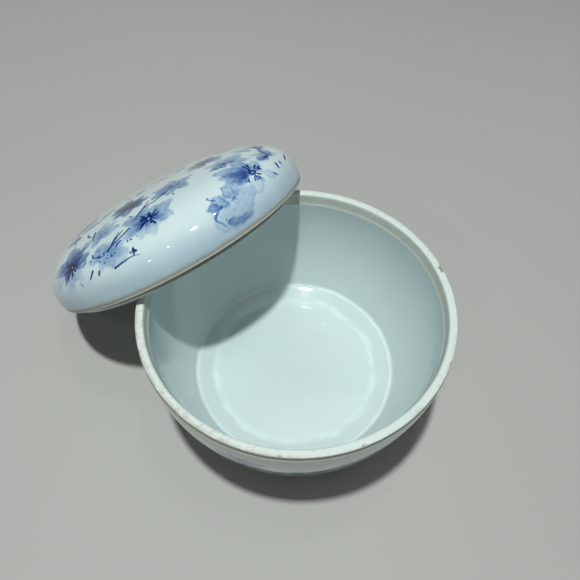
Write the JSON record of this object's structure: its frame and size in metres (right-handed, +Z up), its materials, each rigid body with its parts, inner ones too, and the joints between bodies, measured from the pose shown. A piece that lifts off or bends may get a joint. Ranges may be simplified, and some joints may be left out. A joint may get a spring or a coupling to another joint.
{
  "type": "covered rice bowl",
  "caption": "Porcelain rice bowl with a foot ring and a rebated rim, and its loose domed lid leaning on the rim with its low edge on the table.",
  "frame": {"origin": "on the table, at the centre of the box round the bowl and the leaning lid", "axes": "+Z up; the lid leans towards -X, and the bowl stands at +X; the pair is mirror symmetric about the XZ plane"},
  "size_m": [0.1852, 0.1214, 0.0851],
  "materials": {
    "bowl_porcelain": "glossy pale celadon glaze inside and out, with a bare, slightly worn rim and rebate",
    "lid_porcelain": "glossy bluish white glaze with cobalt brush painting and a bare beige edge"
  },
  "bodies": {
    "bowl": {"bowl": "bowl_porcelain"},
    "lid": {"lid": "lid_porcelain"}
  },
  "joints": [
    {"name": "lid_lift", "type": "slide", "parent": "bowl", "child": "lid", "axis": [0, 0, 1], "range_m": [0, 0.08]}
  ]
}
